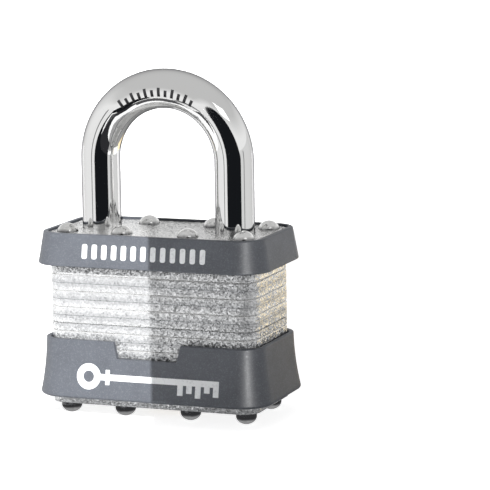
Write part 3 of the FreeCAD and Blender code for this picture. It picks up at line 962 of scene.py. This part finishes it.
@dataclass
class Shackle:
    """The bent bar that lifts out of the case, with a row of plain strokes on the front of its arch."""

    effects: Effects
    colour: Colour = (0.86, 0.86, 0.855)
    rough: float = 0.045
    stroke_colour: Colour = (0.1, 0.1, 0.105)
    stroke_rough: float = 0.34
    stroke_count: int = 12
    stroke_cuts: int = 4
    stroke_width: float = 0.62 * MM
    stroke_low: float = 13.2 * MM
    stroke_high: float = 15.0 * MM
    stroke_step_down: float = 0.45 * MM
    stroke_thick: float = 0.012 * MM
    stroke_lift: float = 0.002 * MM

    def build(self) -> None:
        """Gives the bar its chrome and models the strokes."""
        chrome = Chrome("chrome plate", self.effects, self.colour, self.rough, grain=Grain.POLISHED)
        dress_nodes(["shackle"], chrome.material())
        strokes = self.strokes()
        Bench.lay_on(strokes, frame["nodes"]["shackle"], self.stroke_lift, self.stroke_thick)
        stamped = Finish("stamped stroke", self.effects, self.stroke_colour, self.stroke_rough)
        Bench.coat(strokes, stamped.material())
        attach(strokes, "shackle")

    def strokes(self) -> Piece:
        """Models a row of strokes that stand round the arch, every other one shorter.

        Returns:
            The row, flat, in front of the arch.
        """
        made = []
        step = (STROKES_TO - STROKES_FROM) / self.stroke_count
        half = self.stroke_width / 2
        for number in range(self.stroke_count):
            high = self.stroke_high - self.stroke_step_down * (number % 2)
            stroke = Bench.strip(f"stroke_{number}", (-half, self.stroke_low), (half, high), IN_FRONT)
            with Bench.editing(stroke):
                bpy.ops.mesh.subdivide(number_cuts=self.stroke_cuts)
            spin = Matrix.Rotation(math.radians(STROKES_FROM + step * (number + 0.5)), 4, "Y")
            stroke.data.transform(Matrix.Translation((0.0, 0.0, ARCH_CENTRE)) @ spin)
            made.append(stroke)
        return Bench.join(made, "stamped_strokes")


@dataclass
class Mechanism:
    """The cylinder, the levers, the pins and the springs inside the case."""

    effects: Effects
    colours: dict[str, tuple[Colour, float]] = field(
        default_factory=lambda: {
            "lever_steel": ((0.42, 0.42, 0.43), 0.38),
            "plug_brass": ((0.68, 0.5, 0.22), 0.26),
            "pin_brass": ((0.74, 0.56, 0.27), 0.2),
            "driver_steel": ((0.6, 0.6, 0.6), 0.2),
            "spring_steel": ((0.45, 0.45, 0.46), 0.28),
        }
    )

    def dress(self) -> None:
        """Gives every inner piece its finish."""
        for slot, (colour, rough) in self.colours.items():
            finish = Finish(slot.replace("_", " "), self.effects, colour, rough)
            dress_nodes(nodes_in_slot(slot), finish.material())


@dataclass
class Skirts:
    """The two moulded skirts and the plain white marks printed on their fronts."""

    effects: Effects
    colour: Colour = (0.115, 0.124, 0.143)
    rough: float = 0.44
    ink: Colour = (0.86, 0.875, 0.89)
    ink_rough: float = 0.42
    ink_thick: float = 0.05 * MM
    ink_lift: float = 0.004 * MM
    bar_count: int = 13
    bar_width: float = 1.15 * MM
    bar_rounding: float = 0.36
    bar_segments: int = 5
    bar_row: float = 26.4 * MM
    bar_low: float = 32.75 * MM
    bar_high: float = 35.65 * MM
    key_left: float = -15.0 * MM
    key_right: float = 15.6 * MM
    key_middle: float = 8.9 * MM
    bow_radius: float = 2.6 * MM
    bow_hole: float = 1.15 * MM
    bow_overlap: float = 0.15 * MM
    blade_half: float = 0.62 * MM
    collar: Pair = (1.2 * MM, 2.1 * MM)
    collar_half: float = 1.5 * MM
    collar_forward: float = 0.01 * MM
    teeth: tuple[float, ...] = (1.9, 1.2, 2.3, 1.5, 2.0)
    tooth_pitch: float = 1.9 * MM
    tooth_share: float = 0.62
    slice_mm: float = 0.5
    slices_each_way: int = 5

    def build(self) -> None:
        """Dresses the skirts and models the printed marks."""
        plastic = MouldedPlastic(
            "satin grey plastic", self.effects, self.colour, self.rough, 0.0, Grain.MOULDED
        )
        dress_nodes(["upper_skirt", "lower_skirt"], plastic.material())
        ink = PrintInk("white print", self.effects, self.ink, self.ink_rough, 0.0).material()
        for piece, wall in ((self.bars(), "upper_skirt"), (self.key_sign(), "lower_skirt")):
            Bench.lay_on(piece, frame["nodes"][wall], self.ink_lift, self.ink_thick)
            Bench.coat(piece, ink)
            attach(piece, "case")

    def bars(self) -> Piece:
        """Models a row of upright bars with round ends.

        Returns:
            The row, flat, in front of the upper skirt.
        """
        made = []
        step = (self.bar_row - self.bar_width) / (self.bar_count - 1)
        rounding = self.bar_width * self.bar_rounding
        for number in range(self.bar_count):
            left = -self.bar_row / 2 + step * number
            right = left + self.bar_width
            bar = Bench.strip(f"bar_{number}", (left, self.bar_low), (right, self.bar_high), IN_FRONT)
            with Bench.editing(bar):
                bpy.ops.mesh.bevel(offset=rounding, segments=self.bar_segments, affect="VERTICES")
            made.append(bar)
        return Bench.join(made, "printed_bars")

    def key_sign(self) -> Piece:
        """Models the plain outline of a key on its side, cut level so that it can follow the curved wall.

        Returns:
            The sign, flat, in front of the lower skirt.
        """
        middle, half = self.key_middle, self.blade_half
        bow_x = self.key_left + self.bow_radius
        Bench.clear()
        bpy.ops.mesh.primitive_circle_add(
            vertices=48,
            radius=self.bow_radius,
            fill_type="NGON",
            location=(bow_x, IN_FRONT, middle),
            rotation=UPRIGHT,
        )
        bow = Bench.start("bow")
        with Bench.editing(bow):
            bpy.ops.mesh.inset(thickness=self.bow_radius - self.bow_hole, depth=0.0)
            bpy.ops.mesh.delete(type="FACE")
        neck = bow_x + self.bow_radius - self.bow_overlap
        blade = Bench.strip("blade", (neck, middle - half), (self.key_right, middle + half), IN_FRONT)
        near, far = (neck + along for along in self.collar)
        low, high = middle - self.collar_half, middle + self.collar_half
        collar = Bench.strip("collar", (near, low), (far, high), IN_FRONT - self.collar_forward)
        made = [bow, blade, collar]
        for number, length in enumerate(self.teeth):
            right = self.key_right - self.tooth_pitch * number
            left = right - self.tooth_pitch * self.tooth_share
            low = middle - half - length * MM
            made.append(Bench.strip(f"tooth_{number}", (left, low), (right, middle - half), IN_FRONT))
        sign = Bench.join(made, "printed_key")
        with Bench.editing(sign):
            for step in range(-self.slices_each_way, self.slices_each_way + 1):
                height = middle + step * self.slice_mm * MM
                bpy.ops.mesh.select_all(action="SELECT")
                bpy.ops.mesh.bisect(plane_co=(0.0, 0.0, height), plane_no=(0.0, 0.0, 1.0))
        return sign


@dataclass(frozen=True)
class Card:
    """A curved card that stands round the lock and only shows in reflections.

    Attributes:
        name: The card's name.
        turns: Azimuths of its two edges, in degrees, from the front towards +X.
        glow: Colour and brightness.
        highs: Heights of its upper edge at the two ends.
        near: Distance from the lock, as a share of the studio's reach.
        lows: Heights of its lower edge at the two ends.
        bulge: How far the middle of its upper edge rises above the line between the ends.
        forward: How much nearer to the lock its lower edge stands.
    """

    name: str
    turns: Pair
    glow: Colour
    highs: Pair = (CARD_SIDE, CARD_SIDE)
    near: float = 1.0
    lows: Pair = (CARD_LOW, CARD_LOW)
    bulge: float = 0.0
    forward: float = 0.0

    def mesh(self, reach: float, steps: int = 24) -> bpy.types.Mesh:
        """Models the card.

        Args:
            reach: Distance of a card that isn't brought nearer.
            steps: Number of faces along it.

        Returns:
            Its mesh.
        """
        mesh = bpy.data.meshes.new(self.name)
        shape = bmesh.new()
        rows = []
        for number in range(steps + 1):
            share = number / steps
            turn = math.radians(self.turns[0] + (self.turns[1] - self.turns[0]) * share)
            x, y = math.sin(turn), -math.cos(turn)
            low, high = (a + (b - a) * share for a, b in (self.lows, self.highs))
            high += self.bulge * math.sin(math.pi * share)
            ends = ((reach * self.near - self.forward, low), (reach * self.near, high))
            rows.append([shape.verts.new((x * far, y * far, height)) for far, height in ends])
        for (a, b), (c, d) in zip(rows, rows[1:]):
            shape.faces.new((a, c, d, b))
        shape.to_mesh(mesh)
        shape.free()
        return mesh


@dataclass
class Studio:
    """The camera, the floor, the lamps with their flag, and the cards that the chrome mirrors."""

    azimuth: float = 21.23
    elevation: float = 9.27
    roll: float = -0.87
    distance: float = 520.6 * MM
    target: Point = (16.52 * MM, 0.0, 34.76 * MM)
    lens: float = 192.1
    sensor: float = 36.0
    clip: Pair = (0.01, 20.0)
    sky: float = 0.424
    tent_low: float = 0.92
    tent_high: float = 0.592
    tent_rise: Pair = (0.28, 0.62)
    floor_size: float = 4.0
    floor_drop: float = -0.05 * MM
    paper: Colour = (0.95, 0.95, 0.95)
    paper_rough: float = 0.9
    paper_glow: float = 0.75
    card_reach: float = 190.0 * MM
    standing: tuple[Card, ...] = (
        Card("dark_card", (-17.5, 62.0), (0.009, 0.01, 0.012), (40.0 * MM, 52.0 * MM), bulge=104.0 * MM),
        Card("dark_floor", (-4.0, 62.0), (0.03, 0.03, 0.033), (CARD_LOW, CARD_LOW), forward=105.0 * MM),
        Card("dim_floor", (-52.0, -4.1), (0.1, 0.1, 0.105), (CARD_LOW, CARD_LOW), 0.84, forward=105.0 * MM),
        Card("line_card", (-38.0, -33.5), (0.16, 0.16, 0.165), near=0.9),
        Card("seam_card", (78.0, 82.0), (0.2, 0.2, 0.205), near=0.9),
        Card("white_card", (-93.0, -17.6), (0.9, 0.9, 0.9)),
        Card("pale_card", (62.1, 140.0), (0.74, 0.74, 0.74), (CARD_SIDE, CARD_SIDE * 1.5)),
        Card("soft_box", (32.0, 60.0), (1.7, 1.7, 1.7), (BOX_HIGH, BOX_HIGH), lows=(BOX_LOW, BOX_LOW)),
        Card("brass_glow", (142.0, 176.0), (1.7, 1.4, 0.9), (20.0 * MM, 20.0 * MM), 0.55),
    )
    # The dark sheet under the feet is a painted shadow of the lock on the floor.
    shadow_sheet_place: Point = (4.0 * MM, -1.0 * MM, -0.02 * MM)
    shadow_sheet_size: Pair = (0.06, 0.034)
    shadow_sheet_glow: Colour = (0.3, 0.3, 0.305)
    key_from: Point = (0.42, -1.0, 0.7)
    key_power: float = 5.2
    plate_key_power: float = 3.4
    sun_width: float = 0.8
    flag_edge: Point = (0.3 * MM, -11.0 * MM, 20.0 * MM)
    flag_away: float = 60.0 * MM
    flag_size: Pair = (0.12, 0.3)
    sheen_turn: float = 38.0
    sheen_power: float = 4.2
    sheen_away: float = 0.5
    sheen_aim: Point = (20.0 * MM, 0.0, 25.0 * MM)
    sheen_size: Pair = (0.07, 0.2)

    def build(self) -> None:
        """Sets up the whole studio."""
        self.camera()
        self.world()
        self.floor()
        self.cards()
        self.lamps()
        self.sheen()
        bpy.context.scene.view_settings.view_transform = "Standard"
        LOG.info("studio ready")

    def camera(self) -> None:
        """Places the camera."""
        turn, rise, lean = (math.radians(v) for v in (self.azimuth, self.elevation, self.roll))
        back = Vector((math.sin(turn) * math.cos(rise), -math.cos(turn) * math.cos(rise), math.sin(rise)))
        right = Vector((math.cos(turn), math.sin(turn), 0.0))
        up = back.cross(right)
        leaned = right * math.cos(lean) + up * math.sin(lean)
        upright = up * math.cos(lean) - right * math.sin(lean)
        data = bpy.data.cameras.new("camera")
        data.lens = self.lens
        data.sensor_width = self.sensor
        data.clip_start, data.clip_end = self.clip
        camera = bpy.data.objects.new("camera", data)
        turned = Matrix((leaned, upright, back)).transposed().to_4x4()
        camera.matrix_world = Matrix.Translation(Vector(self.target) + back * self.distance) @ turned
        bpy.context.scene.collection.objects.link(camera)
        bpy.context.scene.camera = camera

    def world(self) -> None:
        """Surrounds the scene with a white tent that is bright low down and greyer overhead."""
        world = bpy.data.worlds.new("white tent")
        bpy.context.scene.world = world
        world.use_nodes = True
        tree = Tree(world.node_tree)
        height = tree.axes(tree.add("TexCoord").outputs["Generated"])[2]
        tent = tree.spread(height, self.tent_low, self.tent_high, *self.tent_rise)
        ray = tree.add("LightPath").outputs
        mirrored = tree.math("MULTIPLY", ray["Is Glossy Ray"], tent)
        matt = tree.math("MULTIPLY", tree.math("SUBTRACT", 1.0, ray["Is Glossy Ray"]), self.sky)
        light = tree.math("MAXIMUM", tree.math("ADD", mirrored, matt), ray["Is Camera Ray"])
        background = tree.add("Background")
        background.inputs[0].default_value = (1.0, 1.0, 1.0, 1.0)
        tree.feed(light, background.inputs[1])
        tree.feed(background.outputs[0], tree.add("OutputWorld").inputs[0])

    def floor(self) -> None:
        """Lays a wide pale floor that is clear from below, so that the underside can be seen."""
        Bench.clear()
        bpy.ops.mesh.primitive_plane_add(size=self.floor_size, location=(0.0, 0.0, self.floor_drop))
        floor = Bench.start("floor")
        paper, tree = new_material("white paper")
        shader = tree.add("BsdfPrincipled")
        shader.inputs["Base Color"].default_value = (*self.paper, 1.0)
        shader.inputs["Roughness"].default_value = self.paper_rough
        shader.inputs["Specular IOR Level"].default_value = 0.0
        shader.inputs["Emission Color"].default_value = (1.0, 1.0, 1.0, 1.0)
        glow = tree.math("MULTIPLY", tree.add("LightPath").outputs["Is Camera Ray"], self.paper_glow)
        tree.feed(glow, shader.inputs["Emission Strength"])
        clear = tree.add("MixShader")
        tree.feed(tree.add("NewGeometry").outputs["Backfacing"], clear.inputs[0])
        tree.feed(shader.outputs[0], clear.inputs[1])
        tree.feed(tree.add("BsdfTransparent").outputs[0], clear.inputs[2])
        tree.show(clear)
        floor.data.materials.append(paper)

    @staticmethod
    def hide(piece: Piece, *rays: str) -> None:
        """Hides a stage piece from most kinds of ray.

        Args:
            piece: The piece.
            *rays: Kinds of ray it is hidden from, on top of the usual ones.
        """
        for ray in (*HIDDEN_FROM, *rays):
            setattr(piece, f"visible_{ray}", False)

    def only_in_reflections(self, card: Piece, glow: Colour) -> None:
        """Lights a card and hides it from everything but mirrored rays.

        Args:
            card: The card.
            glow: Colour and brightness.
        """
        made, tree = new_material(card.name)
        shader = tree.add("Emission")
        shader.inputs[0].default_value = (*glow, 1.0)
        tree.show(shader)
        card.data.materials.append(made)
        self.hide(card, "shadow")

    def cards(self) -> None:
        """Stands the cards, and lays a dark sheet round the feet: a painted shadow of the lock on the floor,
        which only shows in reflections.
        """
        for card in self.standing:
            piece = bpy.data.objects.new(card.name, card.mesh(self.card_reach))
            bpy.context.scene.collection.objects.link(piece)
            self.only_in_reflections(piece, card.glow)
        # Painted shadow: a dark sheet under the feet stands in for the lock's shadow on the floor.
        Bench.clear()
        bpy.ops.mesh.primitive_plane_add(size=1.0, location=self.shadow_sheet_place)
        bpy.context.object.scale = (*self.shadow_sheet_size, 1.0)
        self.only_in_reflections(Bench.start("floor_shadow_card"), self.shadow_sheet_glow)

    @staticmethod
    def hang(data: bpy.types.Light, toward: Vector, spot: Vector, falls_on: Sequence[str] = ()) -> Piece:
        """Hangs a lamp and turns it to shine from a direction.

        Args:
            data: The lamp's settings, whose name it takes.
            toward: Direction from the lock to the lamp.
            spot: Where it hangs.
            falls_on: The only CAD nodes it lights, or none for everything.

        Returns:
            The lamp.
        """
        lamp = bpy.data.objects.new(data.name, data)
        lamp.location = spot
        lamp.rotation_mode = "QUATERNION"
        lamp.rotation_quaternion = toward.to_track_quat("Z", "Y")
        bpy.context.scene.collection.objects.link(lamp)
        if falls_on:
            lit = bpy.data.collections.new(f"{lamp.name} falls on")
            for node in falls_on:
                lit.objects.link(frame["nodes"][node])
            lamp.light_linking.receiver_collection = lit
        return lamp

    def lamps(self) -> None:
        """Hangs the sun lamps at the front and a flag that keeps them off the right half of the front."""
        toward = Vector(self.key_from).normalized()
        plates = nodes_in_slot("lamination_steel")
        for name, power, lit in (("key", self.key_power, ()), ("plate_key", self.plate_key_power, plates)):
            data = bpy.data.lights.new(name, "SUN")
            data.energy = power
            data.angle = math.radians(self.sun_width)
            self.hang(data, toward, toward, lit).visible_glossy = False
        edge = Vector(self.flag_edge) + toward * self.flag_away
        wide, tall = self.flag_size
        Bench.clear()
        bpy.ops.mesh.primitive_plane_add(size=1.0, location=(0.0, 0.0, 0.0), rotation=UPRIGHT)
        flag = bpy.context.object
        flag.scale = (wide, tall, 1.0)
        flag.location = (edge.x + wide / 2, edge.y, edge.z)
        flag = Bench.start("flag")
        self.hide(flag, "glossy")

    def sheen(self) -> None:
        """Hangs a small lamp that only draws the sheen down the skirts' front right corners."""
        turn = math.radians(self.sheen_turn)
        toward = Vector((math.sin(turn), -math.cos(turn), 0.0))
        data = bpy.data.lights.new("sheen", "AREA")
        data.energy = self.sheen_power
        data.shape = "RECTANGLE"
        data.size, data.size_y = self.sheen_size
        spot = toward * self.sheen_away + Vector(self.sheen_aim)
        lamp = self.hang(data, toward, spot, ("upper_skirt", "lower_skirt"))
        lamp.visible_diffuse = False
        lamp.light_linking.blocker_collection = lamp.light_linking.receiver_collection


def main() -> None:
    """Builds and dresses every sub-assembly, then the studio."""
    logging.basicConfig(level=logging.INFO, format="%(name)s: %(message)s")
    effects = Effects()
    Case(effects).build()
    Shackle(effects).build()
    Mechanism(effects).dress()
    Skirts(effects).build()
    Studio().build()
    Bench.clear()


if __name__ == "__main__":
    main()
